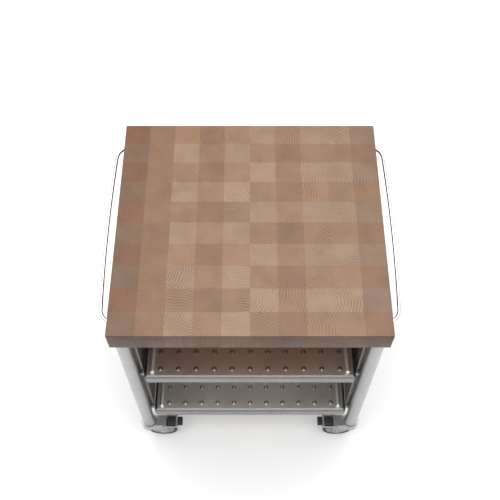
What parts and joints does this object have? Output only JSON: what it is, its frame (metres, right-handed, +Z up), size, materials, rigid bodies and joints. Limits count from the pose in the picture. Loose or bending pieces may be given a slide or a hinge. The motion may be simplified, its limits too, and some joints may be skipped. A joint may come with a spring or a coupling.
{
  "type": "kitchen island cart",
  "caption": "Kitchen island cart: end-grain butcher block on stainless legs, two dimpled shelves between side panels, bowed side handles and braked swivel casters.",
  "frame": {"origin": "on the floor, under the centre of the butcher block", "axes": "+Z up, +X to the right and +Y to the back, seen from the front"},
  "size_m": [0.8338, 0.706, 0.89],
  "materials": {
    "end_grain_maple": "oiled satin",
    "satin_stainless": "satin",
    "panel_stainless": "satin",
    "shelf_stainless": "semi-gloss",
    "polished_stainless": "polished",
    "caster_steel": "satin",
    "zinc_screws": "satin",
    "grey_hub": "matte",
    "black_rubber": "matte",
    "black_plastic": "matte"
  },
  "bodies": {
    "root": {"butcher_block_top": "end_grain_maple", "top_screws": "zinc_screws", "handle_rosettes": "polished_stainless", "side_panel_left": "panel_stainless", "side_panel_right": "panel_stainless", "handle_left": "polished_stainless", "handle_right": "polished_stainless", "upper_shelf": "shelf_stainless", "upper_shelf_spacers": "satin_stainless", "upper_shelf_bead_left": "polished_stainless", "upper_shelf_bead_right": "polished_stainless", "lower_shelf": "shelf_stainless", "lower_shelf_spacers": "satin_stainless", "lower_shelf_bead_left": "polished_stainless", "lower_shelf_bead_right": "polished_stainless", "leg_front_left": "satin_stainless", "leg_plate_front_left": "satin_stainless", "leg_cup_front_left": "satin_stainless", "caster_stem_front_left": "caster_steel", "leg_front_right": "satin_stainless", "leg_plate_front_right": "satin_stainless", "leg_cup_front_right": "satin_stainless", "caster_stem_front_right": "caster_steel", "leg_rear_left": "satin_stainless", "leg_plate_rear_left": "satin_stainless", "leg_cup_rear_left": "satin_stainless", "caster_stem_rear_left": "caster_steel", "leg_rear_right": "satin_stainless", "leg_plate_rear_right": "satin_stainless", "leg_cup_rear_right": "satin_stainless", "caster_stem_rear_right": "caster_steel"},
    "caster_front_left": {"caster_yoke_front_left": "caster_steel", "wheel_axle_front_left": "caster_steel", "axle_nut_front_left": "caster_steel"},
    "wheel_front_left": {"wheel_hub_front_left": "grey_hub", "wheel_tyre_front_left": "black_rubber"},
    "brake_front_left": {"brake_lever_front_left": "caster_steel", "brake_pad_front_left": "black_plastic"},
    "caster_front_right": {"caster_yoke_front_right": "caster_steel", "wheel_axle_front_right": "caster_steel", "axle_nut_front_right": "caster_steel"},
    "wheel_front_right": {"wheel_hub_front_right": "grey_hub", "wheel_tyre_front_right": "black_rubber"},
    "brake_front_right": {"brake_lever_front_right": "caster_steel", "brake_pad_front_right": "black_plastic"},
    "caster_rear_left": {"caster_yoke_rear_left": "caster_steel", "wheel_axle_rear_left": "caster_steel", "axle_nut_rear_left": "caster_steel"},
    "wheel_rear_left": {"wheel_hub_rear_left": "grey_hub", "wheel_tyre_rear_left": "black_rubber"},
    "brake_rear_left": {"brake_lever_rear_left": "caster_steel", "brake_pad_rear_left": "black_plastic"},
    "caster_rear_right": {"caster_yoke_rear_right": "caster_steel", "wheel_axle_rear_right": "caster_steel", "axle_nut_rear_right": "caster_steel"},
    "wheel_rear_right": {"wheel_hub_rear_right": "grey_hub", "wheel_tyre_rear_right": "black_rubber"},
    "brake_rear_right": {"brake_lever_rear_right": "caster_steel", "brake_pad_rear_right": "black_plastic"}
  },
  "joints": [
    {"name": "front_left_swivel", "type": "hinge", "parent": "root", "child": "caster_front_left", "pos_m": [-0.352, -0.325, 0.10775], "axis": [0, 0, 1], "continuous": true},
    {"name": "front_left_wheel_spin", "type": "hinge", "parent": "caster_front_left", "child": "wheel_front_left", "pos_m": [-0.3085, -0.325, 0.05], "axis": [0, 1, 0], "continuous": true},
    {"name": "front_left_brake_press", "type": "hinge", "parent": "caster_front_left", "child": "brake_front_left", "pos_m": [-0.3, -0.325, 0.096], "axis": [0, 1, 0], "range_deg": [0, 10]},
    {"name": "front_right_swivel", "type": "hinge", "parent": "root", "child": "caster_front_right", "pos_m": [0.352, -0.325, 0.10775], "axis": [0, 0, 1], "continuous": true},
    {"name": "front_right_wheel_spin", "type": "hinge", "parent": "caster_front_right", "child": "wheel_front_right", "pos_m": [0.3085, -0.325, 0.05], "axis": [0, 1, 0], "continuous": true},
    {"name": "front_right_brake_press", "type": "hinge", "parent": "caster_front_right", "child": "brake_front_right", "pos_m": [0.3, -0.325, 0.096], "axis": [0, -1, 0], "range_deg": [0, 10]},
    {"name": "rear_left_swivel", "type": "hinge", "parent": "root", "child": "caster_rear_left", "pos_m": [-0.352, 0.325, 0.10775], "axis": [0, 0, 1], "continuous": true},
    {"name": "rear_left_wheel_spin", "type": "hinge", "parent": "caster_rear_left", "child": "wheel_rear_left", "pos_m": [-0.3085, 0.325, 0.05], "axis": [0, 1, 0], "continuous": true},
    {"name": "rear_left_brake_press", "type": "hinge", "parent": "caster_rear_left", "child": "brake_rear_left", "pos_m": [-0.3, 0.325, 0.096], "axis": [0, 1, 0], "range_deg": [0, 10]},
    {"name": "rear_right_swivel", "type": "hinge", "parent": "root", "child": "caster_rear_right", "pos_m": [0.352, 0.325, 0.10775], "axis": [0, 0, 1], "continuous": true},
    {"name": "rear_right_wheel_spin", "type": "hinge", "parent": "caster_rear_right", "child": "wheel_rear_right", "pos_m": [0.3085, 0.325, 0.05], "axis": [0, 1, 0], "continuous": true},
    {"name": "rear_right_brake_press", "type": "hinge", "parent": "caster_rear_right", "child": "brake_rear_right", "pos_m": [0.3, 0.325, 0.096], "axis": [0, -1, 0], "range_deg": [0, 10]}
  ]
}
